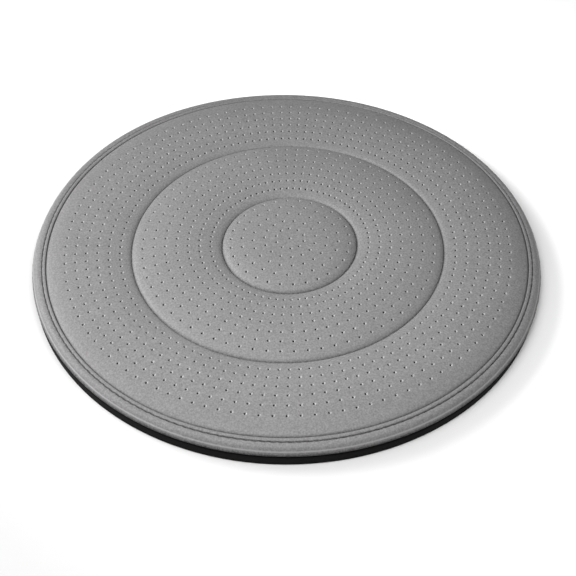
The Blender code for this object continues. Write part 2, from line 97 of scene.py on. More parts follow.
# Painted light and shade stored on the leather: painted shade in the pressed lines, seam, stitch line and
# hem, the panel darker towards the seam and the band a little all over, and a painted highlight along the
# band's shoulder.
# painted shade in the pressed lines and the seam, and its width
LINE_PAINTED_SHADE = 0.55
LINE_WIDTH = 0.45 * MM
OUTER_SHADE = 0.1
OUTER_SHADE_RADII = (150.0 * MM, 180.0 * MM)
BAND_SHADE = 0.12
# painted shade along the stitched valley, and its width
STITCH_PAINTED_SHADE = 0.65
STITCH_PAINTED_SHADE_WIDTH = 0.28 * MM
# painted shade where the band turns under towards the hem, from the first height to full at the second
HEM_PAINTED_SHADE_HEIGHTS = (12.8 * MM, 9.9 * MM)
# painted highlight along the band's shoulder: its radius, height and reach
PAINTED_HIGHLIGHT_RADIUS = 198.7 * MM
PAINTED_HIGHLIGHT_HEIGHT = 13.4 * MM
PAINTED_HIGHLIGHT_REACH = 0.75 * MM

# Perforations.
HOLE_RADIUS = 0.74 * MM
HOLE_DEPTH = 1.05 * MM
RIM_WIDTH = 0.6 * MM
RIM_DROP = 0.55 * MM
RIM_SHIFT = (0.5 * MM, 0.15 * MM, 0.0)  # the mouth is pulled to one side, where the punch came in
HOLE_SIDES = 12
PUNCH_ABOVE = 0.35 * MM  # the punch stands this far out of the panel, a little wider than its mouth
PUNCH_SPREAD = 1.3

# Grip dots under the base.
DOT_PITCH = 6.8 * MM
DOT_REACH = 193.0 * MM
DOT_ROWS = 0.866  # rows lie this share of the pitch apart, as in a honeycomb
DOT_TOP = 0.45 * MM  # height of a dot's root, just inside the cloth, above the floor
DOT_RADIUS = 1.0 * MM
DOT_WAIST = 0.85 * MM  # its radius at the height where its tip begins
DOT_TIP = 0.12 * MM
DOT_TIP_SHARE = 0.56  # the tip's radius on the floor, as a share of the waist's

# Grip cloth over the base, foam disc and the cloth of the band.
COVER_BOTTOM = 0.3 * MM  # above the floor, on the grip dots
COVER_ROUND = 1.8 * MM  # outer radius of its rounded edge
COVER_FOOT = 0.6 * MM  # radius of the turn into its underside
COVER_TURN_IN = 192.0 * MM  # its edge is turned in to this radius over the rim
BAND_SKIN = 0.8 * MM
FOAM_POCKET = 17.0 * MM
FOAM_RADIUS = 197.2 * MM
LEVEL_RADII = (60.0 * MM, 120.0 * MM, 180.0 * MM)  # points along a level face

# Stitching of the band.
STITCH_LINE = 192.3 * MM
STITCH_COUNT = 192
STITCH_SHARE = 0.6  # share of the pitch that the thread lies on top
STITCH_SLANT = 0.22 * MM  # each stitch leans this far off the line, to both sides
THREAD_RADIUS = 0.32 * MM
THREAD_DROP = 1.15 * MM  # the thread's middle is this far below the seam, down in the valley
THREAD_SLIM = 0.35  # share of its thickness that a stitch loses at its ends, where it dives in
THREAD_DIVE = 0.55 * MM
COLUMNS_A_STITCH = 6
STITCH_REACH = 0.65 * MM  # half width of the stitched valley
STITCH_SINK = 0.3 * MM  # how far the band is pulled down under a thread
STITCH_SWELL = 0.1 * MM  # and how far it rises between two threads
PUFF_LINE = 194.4 * MM  # the band puffs up between stitches round this line
PUFF_REACH = 1.6 * MM
PUFF_DIP = 0.1 * MM
RIDGE_SAG = 0.3 * MM  # the ridge lies lower at the back
WRINKLE = 0.16 * MM  # depth of the wrinkles over the shoulder, and of finer ones among them
FINE_WRINKLE = 0.06 * MM


def let_go():
    """Leave edit mode and select nothing."""
    if bpy.context.mode != "OBJECT":
        bpy.ops.object.mode_set(mode="OBJECT")
    bpy.ops.object.select_all(action="DESELECT")


def take(piece):
    """Make a piece the only one selected and the active one."""
    let_go()
    piece.select_set(True)
    bpy.context.view_layer.objects.active = piece
    return piece


def named(name):
    """Name the object that an operator has just made, with its mesh."""
    piece = bpy.context.object
    piece.name = name
    piece.data.name = name
    return piece


def settle(piece, angle=35.0):
    """Put a finished piece's place into its mesh and smooth its round faces."""
    take(piece)
    bpy.ops.object.transform_apply(location=True, rotation=True, scale=True)
    bpy.ops.object.shade_smooth_by_angle(angle=math.radians(angle))
    return piece


def copies(name, model, matrices):
    """Copy a modelled shape to many places, as one mesh in place of the model."""
    points = [v.co.copy() for v in model.data.vertices]
    faces = [tuple(p.vertices) for p in model.data.polygons]
    slots = [p.material_index for p in model.data.polygons]
    all_points, all_faces = [], []
    for matrix in matrices:
        start = len(all_points)
        all_points += [matrix @ p for p in points]
        all_faces += [tuple(start + i for i in face) for face in faces]
    mesh = bpy.data.meshes.new(name)
    mesh.from_pydata(all_points, [], all_faces)
    mesh.polygons.foreach_set("material_index", slots * len(matrices))
    mesh.update()
    group = bpy.data.objects.new(name, mesh)
    bpy.context.scene.collection.objects.link(group)
    bpy.data.objects.remove(model)
    return group


def spun(name, profile, columns):
    """Turn a profile of (radius, height) points round the Z axis: one sector is spun and copied."""
    let_go()
    first = profile[0]
    bpy.ops.mesh.primitive_plane_add(size=MM, location=(first[0], 0.0, first[1]))
    sector = named(name + "_sector")
    bpy.ops.object.transform_apply(location=True, rotation=True, scale=True)
    bpy.ops.object.mode_set(mode="EDIT")
    bpy.ops.mesh.merge(type="CENTER")
    for start, end in zip(profile, profile[1:]):
        step = (end[0] - start[0], 0.0, end[1] - start[1])
        bpy.ops.mesh.extrude_region_move(TRANSFORM_OT_translate={"value": step})
    bpy.ops.mesh.select_all(action="SELECT")
    bpy.ops.mesh.spin(
        steps=columns // SECTORS, angle=TURN / SECTORS, center=(0.0, 0.0, 0.0), axis=(0.0, 0.0, 1.0),
    )
    bpy.ops.object.mode_set(mode="OBJECT")
    turns = [Matrix.Rotation(TURN * index / SECTORS, 4, "Z") for index in range(SECTORS)]
    piece = take(copies(name, sector, turns))
    bpy.ops.object.mode_set(mode="EDIT")
    bpy.ops.mesh.select_all(action="SELECT")
    bpy.ops.mesh.remove_doubles(threshold=0.01 * MM)
    bpy.ops.mesh.normals_make_consistent(inside=False)
    bpy.ops.object.mode_set(mode="OBJECT")
    return piece


def pick_faces(piece, wanted):
    """In edit mode, select just the faces for which wanted(face) holds."""
    bpy.ops.mesh.select_all(action="DESELECT")
    mesh = bmesh.from_edit_mesh(piece.data)
    for face in mesh.faces:
        face.select = wanted(face)
    bmesh.update_edit_mesh(piece.data)


def move_points(piece, place):
    """Move each point of a piece's mesh to place(point)."""
    for vertex in piece.data.vertices:
        vertex.co = place(vertex.co.copy())
    piece.data.update()


def shade_points(piece, share):
    """Store share(point) for each point: painted highlight above 0 and painted shade below."""
    shades = piece.data.attributes.new("edge_tone", "FLOAT", "POINT")
    shades.data.foreach_set("value", [share(vertex.co) for vertex in piece.data.vertices])


def polar(point):
    """Radius and angle of a point round the swivel axis."""
    return math.hypot(point.x, point.y), math.atan2(point.y, point.x)


def graded(start, end, fine, coarse, growth=1.35):
    """Radii from start to end, close together at both ends and wider apart between them."""
    steps, step, left = [], fine, (end - start) / 2
    while left > 0:
        steps.append(min(step, coarse))
        left -= steps[-1]
        step *= growth
    scale = (end - start) / 2 / sum(steps)
    radii = [start]
    for step in steps + steps[::-1]:
        radii.append(radii[-1] + step * scale)
    return radii[1:]


def smooth(low, high, value):
    """Go from 0 at low to 1 at high without a kink."""
    share = min(max((value - low) / (high - low), 0.0), 1.0)
    return share * share * (3 - 2 * share)


def pillow(share, fullness, roundness):
    """Height of a puffed zone, 0 at both edges and 1 in between, at a share of its width."""
    return (1.0 - min(abs(2.0 * share - 1.0), 1.0) ** fullness) ** roundness


def between(low, high, share):
    """The value at a share of the way from low to high."""
    return low + (high - low) * share


def crown(radius):
    """Height of the panel's puffed zones at a radius."""
    if radius <= INNER_GROOVE:
        share = radius / INNER_GROOVE
        return INNER_GROOVE_HEIGHT + INNER_CROWN * pillow(0.5 + 0.5 * share, *INNER_PILLOW)
    if radius <= OUTER_GROOVE:
        share = (radius - INNER_GROOVE) / (OUTER_GROOVE - INNER_GROOVE)
        line = between(INNER_GROOVE_HEIGHT, OUTER_GROOVE_HEIGHT, share)
        return line + MIDDLE_CROWN * pillow(share, *MIDDLE_PILLOW)
    share = min((radius - OUTER_GROOVE) / (SEAM_RADIUS - OUTER_GROOVE), 1.0)
    line = between(OUTER_GROOVE_HEIGHT, SEAM_HEIGHT, share)
    return line + OUTER_CROWN * pillow(share ** OUTER_LEAN, *OUTER_PILLOW)


def pressed(radius):
    """Height of the panel with its pressed lines, and its edge rolled down into the seam."""
    height = crown(radius)
    for groove in (INNER_GROOVE, OUTER_GROOVE):
        height -= GROOVE_CUT * math.exp(-abs(radius - groove) / GROOVE_FLANK)
    return height - EDGE_DROP * math.exp(min(radius - SEAM_RADIUS, 0.0) / EDGE_FLANK)


def off_axis(radius):
    """How far the panel's pattern is shifted at a radius."""
    share = min(max((SEAM_RADIUS - radius) / (SEAM_RADIUS - OFFSET_INSIDE), 0.0), 1.0)
    return PATTERN_OFFSET * share ** OFFSET_FALL


# How far the hand-laid rings stray from round, in mm: radius, then a sideways share, two oval ones and a
# three-sided one.
STRAYS = (
    (0, 0.0, 0.0, 0.0, 0.0),
    (54, 0.0, -0.4, 0.6, 0.1),
    (90, 0.0, 0.1, 1.0, 0.25),
    (122, 0.0, 0.9, 0.8, 0.4),
    (157, 0.0, 1.8, 0.8, 0.8),
    (189, 0.2, 0.7, 0.0, 0.55),
    (192.3, 0.2, 0.5, -0.25, 0.55),
    (197.5, 0.0, 0.4, -0.3, 0.2),
)
SWELL = (2.3, 0.45, 1.7)  # fuller stretch of the edge: its angle and width in radians, and mm outwards


def stray(radius, angle):
    """How much further out than its radius a place on the panel or band lies."""
    at = min(radius / MM, STRAYS[-1][0])
    for low, high in zip(STRAYS, STRAYS[1:]):
        if at <= high[0]:
            break
    share = (at - low[0]) / (high[0] - low[0])
    side, long, slant, three = (between(a, b, share) for a, b in zip(low[1:], high[1:]))
    waves = side * math.cos(angle) + long * math.cos(2 * angle) + slant * math.sin(2 * angle)
    waves += three * math.cos(3 * angle)
    turn = math.remainder(angle - SWELL[0], TURN) / SWELL[1]
    swell = SWELL[2] * math.exp(-turn * turn) * smooth(190 * MM, 197 * MM, radius)
    return (waves + swell) * MM


def laid(radius, angle, height):
    """Where a place of the panel's round pattern lies on the real, uneven one."""
    shift = off_axis(radius)
    out = radius + stray(radius, angle)
    return Vector((shift.x + out * math.cos(angle), shift.y + out * math.sin(angle), height))


def panel_radii(fine=0.35 * MM, coarse=2.4 * MM):
    """Radii of the panel's rings of points, closest at the grooves and the seam."""
    radii = [0.0, 2.0 * MM, 4.0 * MM, 7.0 * MM]
    radii += graded(radii[-1], INNER_GROOVE, coarse, coarse)[:-6]
    radii += graded(radii[-1], INNER_GROOVE, fine, coarse)
    radii += graded(INNER_GROOVE, OUTER_GROOVE, fine, coarse)
    radii += graded(OUTER_GROOVE, SEAM_RADIUS, fine, coarse)
    return radii


def make_panel():
    """Perforated panel: its crown, pressed grooves and turned edge as one thin closed shell."""
    edge, rim, bottom = SEAM_RADIUS, SEAM_RADIUS + SEAM_ALLOWANCE, ALLOWANCE_BOTTOM
    profile = [(r, pressed(r)) for r in panel_radii()]
    profile += [(edge, bottom + PANEL_SKIN), (rim, bottom + PANEL_SKIN - ALLOWANCE_FALL)]
    profile += [(rim, bottom - ALLOWANCE_FALL), (edge - PANEL_SKIN, bottom)]
    under = [r for r in panel_radii(0.6 * MM, 4.5 * MM) if r < edge - 2 * PANEL_SKIN]
    profile += [(r, pressed(r) - PANEL_SKIN) for r in reversed(under)]
    panel = spun("perforated_panel", profile, PANEL_COLUMNS)

    def edge_tone(point):
        radius = polar(point)[0]
        nearest = min(abs(radius - line) for line in (INNER_GROOVE, OUTER_GROOVE, SEAM_RADIUS))
        # painted shade in the pressed lines and the seam; the panel's outside is also a little darker
        # towards the seam
        line = -LINE_PAINTED_SHADE * math.exp(-((nearest / LINE_WIDTH) ** 2))
        return line - OUTER_SHADE * smooth(*OUTER_SHADE_RADII, radius)

    shade_points(panel, edge_tone)
    move_points(panel, lambda point: laid(*polar(point), point.z))
    return panel


class Zone:
    """One punched zone: rings of holes on radial lines, a little closer set at the back."""

    def __init__(self, count, first, last, rings, phase, waves):
        self.count = count
        self.radii = [first + (last - first) * i / (rings - 1) for i in range(rings)]
        self.phase = phase
        self.waves = waves

    def holes(self):
        """Radius and angle of each hole. Phase and waves are in degrees, inner ring and outer ring."""
        first, last = self.radii[0], self.radii[-1]
        for radius in self.radii:
            share = (radius - first) / (last - first)
            for index in range(self.count):
                turn = TURN * index / self.count
                angle = between(*self.phase, share)
                for wave, (inner, outer) in self.waves.items():
                    angle += between(inner, outer, share) * wave(turn)
                yield radius, turn + math.radians(angle)


OUTER_ZONE = Zone(
    119, 130.9 * MM, 173.7 * MM, 6, (-1.5, -1.85),
    {
        math.cos: (4.6, 4.8),
        math.sin: (-0.1, -0.3),
        lambda t: math.sin(3 * t): (-0.4, -0.7),
    },
)
MIDDLE_ZONE = Zone(
    72, 62.6 * MM, 114.0 * MM, 7, (-3.1, -3.5),
    {
        math.cos: (2.2, 3.3),
        math.sin: (0.6, -0.8),
        lambda t: math.cos(2 * t): (0.25, -0.45),
        lambda t: math.sin(2 * t): (0.75, 0.95),
        lambda t: math.sin(3 * t): (-0.1, -0.35),
    },
)
INNER_RINGS = ((11.25 * MM, 10), (20.3 * MM, 15), (29.3 * MM, 20), (38.2 * MM, 24), (47.0 * MM, 30))
INNER_START = math.radians(57.4)  # every inner ring has a hole on this line


def hole_places():
    """Radius and angle of every hole in the panel."""
    places = [(0.0, 0.0)]
    for radius, count in INNER_RINGS:
        places += [(radius, INNER_START + TURN * i / count) for i in range(count)]
    places += MIDDLE_ZONE.holes()
    places += OUTER_ZONE.holes()
    return places


def make_punch():
    """One punch: a round pin whose mouth flares where the leather turns into the hole."""
    let_go()
    bpy.ops.mesh.primitive_cylinder_add(
        vertices=HOLE_SIDES, radius=HOLE_RADIUS, depth=HOLE_DEPTH, location=(0, 0, -HOLE_DEPTH / 2),
    )
    punch = named("punch")
    bpy.ops.object.transform_apply(location=True, rotation=True, scale=True)
    bpy.ops.object.mode_set(mode="EDIT")
    pick_faces(punch, lambda face: face.normal.z > 0.9)
    bpy.ops.transform.translate(value=(0, 0, -RIM_DROP))
    flare = (HOLE_RADIUS + RIM_WIDTH) / HOLE_RADIUS
    bpy.ops.mesh.extrude_region_move(TRANSFORM_OT_translate={"value": (0, 0, RIM_DROP)})
    bpy.ops.transform.resize(value=(flare, flare, 1))
    bpy.ops.transform.translate(value=RIM_SHIFT)
    bpy.ops.mesh.extrude_region_move(TRANSFORM_OT_translate={"value": (0, 0, PUNCH_ABOVE)})
    bpy.ops.transform.resize(value=(PUNCH_SPREAD, PUNCH_SPREAD, 1))
    bpy.ops.object.mode_set(mode="OBJECT")
    for face in punch.data.polygons:
        # faces down in the hole take the painted hole shade, the flare the lighter rim
        face.material_index = 1 if face.center.z < -RIM_DROP else 0
    return punch


def perforate(panel, rim, dark):
    """Punch every hole into the panel, square to its surface."""
    matrices = []
    step = 0.5 * MM
    for radius, angle in hole_places():
        place = laid(radius, angle, pressed(radius))
        slope = (pressed(radius + step) - pressed(abs(radius - step))) / (2 * step) if radius else 0
        normal = Vector((-slope * math.cos(angle), -slope * math.sin(angle), 1.0))
        lean = UP.rotation_difference(normal).to_matrix().to_4x4()
        matrices.append(Matrix.Translation(place) @ lean)
    punches = copies("punches", make_punch(), matrices)
    punches.data.materials.append(rim)
    punches.data.materials.append(dark)
    take(panel)
    cut = panel.modifiers.new("perforation", "BOOLEAN")
    cut.operation = "DIFFERENCE"
    cut.solver = "MANIFOLD"  # both meshes are closed, and it is far quicker here than EXACT
    cut.material_mode = "TRANSFER"
    cut.object = punches
    bpy.ops.object.modifier_apply(modifier=cut.name)
    bpy.data.objects.remove(punches)


def make_padding():
    """Soft padding under the panel, crowned like it and flat underneath."""
    down = PANEL_SKIN + FIT
    seam = SEAM_RADIUS - 2 * PANEL_SKIN
    radii = [r for r in panel_radii(0.7 * MM, 3.5 * MM) if r < seam - FIT]
    profile = [(r, pressed(r) - down) for r in radii if pressed(r) - down > PADDING_BOTTOM + FIT]
    edge = profile[-1][0]
    profile += [(edge + 0.4 * MM, PADDING_BOTTOM + 0.2 * MM), (edge, PADDING_BOTTOM)]
    profile += [(edge - 3 * MM, PADDING_BOTTOM), (0.0, PADDING_BOTTOM)]
    padding = spun("crown_padding", profile, 120)

    def shifted(point):
        share = smooth(PADDING_BOTTOM, PADDING_BOTTOM + MM, point.z)
        return point.lerp(laid(*polar(point), point.z), share)

    move_points(padding, shifted)
    return padding


def corner(radius, height, reach, rise, start, end, points, fullness=2.0):
    """Points on a rounded corner about (radius, height), an ellipse at fullness 2."""
    line = []
    for index in range(points):
        angle = math.radians(start + (end - start) * index / (points - 1))
        out = max(0.0, math.cos(angle)) ** (2 / fullness)
        up = math.copysign(abs(math.sin(angle)) ** (2 / fullness), math.sin(angle))
        line.append((radius + reach * out, height + rise * up))
    return line


# Radius and height in mm of the band's top: ridge, stitched valley, sloping face and creased shoulder.
BAND_TOP = (
    (190.7, 17.3), (191.2, 17.2), (191.6, 17.05), (191.85, 16.85), (192.0, 16.55), (192.12, 16.2),
    (192.22, 15.9), (192.32, 15.75), (192.42, 15.85), (192.55, 16.1), (192.75, 16.3), (193.1, 16.42),
    (193.7, 16.45), (194.6, 16.4), (195.5, 16.2), (196.4, 15.8), (197.1, 15.25), (197.7, 14.65),
    (198.2, 14.1), (198.55, 13.65), (198.85, 13.2), (199.15, 12.65), (199.45, 12.0), (199.75, 11.4),
)


def band_profile():
    """Section of the border band: folded edge, stitch line, shoulder, hem and cord channel."""
    ridge = SEAM_HEIGHT + 0.3 * MM
    fold = SEAM_RADIUS + FIT
    hem_turn = SEAT_RADIUS - 4.0 * MM
    hem_drop = BAND_WIDEST - BAND_BOTTOM
    hem_inside = BAND_BOTTOM + BAND_SKIN
    outer = [(fold, ridge - 1.9 * MM), (fold, ridge - 1.0 * MM)]
    outer += corner(fold + 0.7 * MM, ridge - 0.7 * MM, -0.7 * MM, 0.7 * MM, 12, 90, 6)
    outer += [(radius * MM, height * MM) for radius, height in BAND_TOP]
    outer += corner(hem_turn, BAND_WIDEST, 4.0 * MM, hem_drop, 0, -90, 14, 2.5)
    outer += [(194.0 * MM, BAND_BOTTOM), (190.0 * MM, BAND_BOTTOM), (185.0 * MM, BAND_BOTTOM)]
    around, outside = 1.0 * MM, 1.0 * MM + BAND_SKIN
    outer += corner(CORD_RING, CORD_HEIGHT, -around, around, 90, -70, 7)
    inner = corner(CORD_RING, CORD_HEIGHT, -outside, outside, -70, 90, 8)
    inner += [(185.0 * MM, hem_inside), (190.0 * MM, hem_inside), (194.0 * MM, hem_inside)]
    inner += corner(hem_turn, BAND_WIDEST, 3.1 * MM, hem_drop - BAND_SKIN, -90, 0, 7)
    inner += [(197.7 * MM, 13.1 * MM), (196.6 * MM, 14.0 * MM), (195.0 * MM, 14.9 * MM)]
    return outer + inner + [outer[0]]


def stitch_phase(angle):
    """Place along the stitch at an angle: 0 at its middle, 1 at the middle of the gap."""
    return abs((angle / TURN * STITCH_COUNT) % 1.0 - 0.5) * 2


def stitch_lean(angle):
    """How far a stitch has leant outwards at an angle: from -1 at its start to 1 at its end."""
    return ((angle / TURN * STITCH_COUNT) % 1.0) * 2 - 1


def make_band():
    """Grey border band, dimpled under each stitch and lightly wrinkled over its shoulder."""
    band = spun("edge_band", band_profile(), STITCH_COUNT * COLUMNS_A_STITCH)

    def edge_tone(point):
        radius = polar(point)[0]
        # painted highlight along the shoulder's crease
        shoulder = math.hypot(radius - PAINTED_HIGHLIGHT_RADIUS, point.z - PAINTED_HIGHLIGHT_HEIGHT) / PAINTED_HIGHLIGHT_REACH
        painted_highlight = max(0.0, 1 - shoulder * shoulder) * smooth(196 * MM, 197 * MM, radius)
        # painted shade in the stitched valley
        stitch_shade = math.exp(-(((radius - STITCH_LINE) / STITCH_PAINTED_SHADE_WIDTH) ** 2))
        stitch_shade *= smooth(15 * MM, 15.5 * MM, point.z)
        # painted shade under the band's turn
        hem = smooth(*HEM_PAINTED_SHADE_HEIGHTS, point.z)
        return painted_highlight - BAND_SHADE - STITCH_PAINTED_SHADE * stitch_shade - hem

    shade_points(band, edge_tone)

    def worked(point):
        radius, angle = polar(point)
        on_top = smooth(13.5 * MM, 15.0 * MM, point.z) * smooth(190.6 * MM, 191.6 * MM, radius)
        reach = abs(radius - STITCH_LINE) / STITCH_REACH
        near = max(0.0, 1 - reach * reach) * on_top
        phase = stitch_phase(angle)
        thread = 1 - smooth(STITCH_SHARE - 0.25, STITCH_SHARE + 0.1, phase)
        drop = near * (STITCH_SINK * thread - STITCH_SWELL * (1 - thread))
        puff = smooth(1.2, 0.0, abs(radius - PUFF_LINE) / PUFF_REACH) * on_top
        drop += PUFF_DIP * puff * phase
        ridge = smooth(191.9 * MM, 190.9 * MM, radius) * smooth(16.2 * MM, 17.2 * MM, point.z)
        drop += RIDGE_SAG * ridge * smooth(0.45, 1.0, math.sin(angle))
        shoulder = smooth(194.5 * MM, 199.0 * MM, radius) * smooth(8.5 * MM, 10.5 * MM, point.z)
        waves = Vector((math.cos(angle) * 60, math.sin(angle) * 60, point.z * 120))
        crease = noise.noise(waves) * WRINKLE + noise.noise(waves * 2.7) * FINE_WRINKLE
        out = radius + crease * shoulder + near * STITCH_SLANT * stitch_lean(angle)
        out += stray(radius, angle) * smooth(183.0 * MM, 189.0 * MM, radius)
        return Vector((out * math.cos(angle), out * math.sin(angle), point.z - drop))

    move_points(band, worked)
    return band


def make_stitches():
    """Thread on top of the band: one short leaning stitch for each dimple."""
    let_go()
    length = TURN * STITCH_LINE / STITCH_COUNT * STITCH_SHARE
    bpy.ops.mesh.primitive_cylinder_add(
        vertices=6, radius=THREAD_RADIUS, depth=length, rotation=(math.pi / 2, 0, 0),
        end_fill_type="NGON",
    )
    stitch = named("stitch")
    bpy.ops.object.transform_apply(location=True, rotation=True, scale=True)
    bpy.ops.object.mode_set(mode="EDIT")
    for share in (-0.36, -0.12, 0.12, 0.36):
        bpy.ops.mesh.select_all(action="SELECT")
        bpy.ops.mesh.bisect(plane_co=(0, share * length, 0), plane_no=(0, 1, 0))
    bpy.ops.object.mode_set(mode="OBJECT")

    def bent(point):
        share = min(abs(point.y) / (length / 2), 1.0)
        slim = 1 - THREAD_SLIM * share ** 3
        return Vector((point.x * slim, point.y, point.z * slim - THREAD_DIVE * share ** 3))

    move_points(stitch, bent)
    matrices = []
    for index in range(STITCH_COUNT):
        angle = TURN * (index + 0.5) / STITCH_COUNT
        place = Vector((STITCH_LINE + stray(STITCH_LINE, angle), 0, SEAM_HEIGHT - THREAD_DROP))
        lean = Matrix.Rotation(math.atan2(2 * STITCH_SLANT, length), 4, "Z")
        matrices.append(Matrix.Rotation(angle, 4, "Z") @ Matrix.Translation(place) @ lean)
    return copies("seam_stitches", stitch, matrices)


def make_cover():
    """Black non-slip cloth: flat underneath, round at its edge and turned in over the rim."""
    side, foot = BASE_RADIUS - COVER_ROUND, BASE_RADIUS - COVER_FOOT
    inside = COVER_ROUND - MM
    top, edge = LIP_TOP - COVER_ROUND, COVER_TURN_IN
    profile = [(radius, 1.0 * MM) for radius in (0.0, *LEVEL_RADII)]
    profile += corner(side, COVER_ROUND, inside, inside, -90, 0, 5)
    profile += corner(side, top, inside, inside, 0, 90, 5)
    profile += [(edge, LIP_TOP - 1.0 * MM), (edge - 0.2 * MM, LIP_TOP - 0.5 * MM), (edge, LIP_TOP)]
    profile += corner(side, top, COVER_ROUND, COVER_ROUND, 90, 0, 8)
    profile += [(BASE_RADIUS, 4.9 * MM), (BASE_RADIUS, 3.3 * MM), (BASE_RADIUS, COVER_ROUND)]
    profile += corner(foot, COVER_BOTTOM + COVER_FOOT, COVER_FOOT, COVER_FOOT, 0, -90, 5)
    profile += [(radius, COVER_BOTTOM) for radius in (*reversed(LEVEL_RADII), 0.0)]
    return spun("grip_cover", profile, 360)


def make_drawcord():
    """Elastic cord in the hem, a little puckered by the gathered cloth."""
    let_go()
    bpy.ops.mesh.primitive_torus_add(
        major_radius=CORD_RING, minor_radius=CORD_RADIUS, major_segments=240, minor_segments=10,
        location=(0, 0, CORD_HEIGHT),
    )
    cord = named("elastic_drawcord")
    bpy.ops.object.transform_apply(location=True, rotation=True, scale=True)

    (outward_waves, outward), (upward_waves, upward) = CORD_PUCKERS

    def puckered(point):
        radius, angle = polar(point)
        out = radius + outward * math.sin(outward_waves * angle)
        up = point.z + upward * math.cos(upward_waves * angle)
        return Vector((out * math.cos(angle), out * math.sin(angle), up))

    move_points(cord, puckered)
    return cord


def make_dots():
    """Grip dots printed on the underside of the cloth, in rows."""
    let_go()
    bpy.ops.mesh.primitive_cone_add(
        vertices=8, radius1=DOT_WAIST, radius2=DOT_RADIUS, depth=DOT_TOP - DOT_TIP,
        location=(0, 0, (DOT_TOP + DOT_TIP) / 2),
    )
    dot = named("dot")
    bpy.ops.object.transform_apply(location=True, rotation=True, scale=True)
    bpy.ops.object.mode_set(mode="EDIT")
    pick_faces(dot, lambda face: face.normal.z < -0.9)
    bpy.ops.mesh.extrude_region_move(TRANSFORM_OT_translate={"value": (0, 0, -DOT_TIP)})
    bpy.ops.transform.resize(value=(DOT_TIP_SHARE, DOT_TIP_SHARE, 1))
    bpy.ops.object.mode_set(mode="OBJECT")
    places = []
    most = math.ceil(DOT_REACH / (DOT_PITCH * DOT_ROWS))
    for row in range(-most, most + 1):
        for column in range(-most, most + 1):
            x = (column + 0.5 * (row % 2)) * DOT_PITCH
            y = row * DOT_PITCH * DOT_ROWS
            if math.hypot(x, y) < DOT_REACH:
                places.append(Matrix.Translation((x, y, 0.0)))
    return copies("grip_dots", dot, places)


def make_foam():
    """Firm foam disc, cut away over the pivot and sloped under the seam."""
    pocket, edge = FOAM_POCKET, FOAM_RADIUS
    profile = [(pocket, FOAM_TOP - 0.4 * MM), (pocket + 0.6 * MM, FOAM_TOP)]
    profile += [(radius, FOAM_TOP) for radius in LEVEL_RADII]
    profile += [(184 * MM, FOAM_TOP), (187.4 * MM, 13.6 * MM), (194.6 * MM, 12.7 * MM)]
    profile += [(196.3 * MM, 12.5 * MM), (edge, FOAM_BOTTOM + 0.2 * MM), (edge - 0.5 * MM, FOAM_BOTTOM)]
    profile += [(radius, FOAM_BOTTOM) for radius in reversed(LEVEL_RADII)]
    profile += [(pocket, FOAM_BOTTOM), (pocket, FOAM_TOP - 0.4 * MM)]
    return spun("foam_disc", profile, 120)


class Signal:
    """A number in a material's nodes: sums on it add Math nodes."""

    def __init__(self, finish, socket):
        self.finish = finish
        self.socket = socket

    def _math(self, operation, first, second):
        return self.finish.node("ShaderNodeMath", {"operation": operation}, {0: first, 1: second})

    def __add__(self, other):
        return self._math("ADD", self, other)

    __radd__ = __add__

    def __sub__(self, other):
        return self._math("SUBTRACT", self, other)

    def __rsub__(self, other):
        return self._math("SUBTRACT", other, self)

    def __mul__(self, other):
        return self._math("MULTIPLY", self, other)

    __rmul__ = __mul__

    def below(self, other):
        return self._math("LESS_THAN", self, other)

    def above(self, other):
        return self._math("GREATER_THAN", self, other)


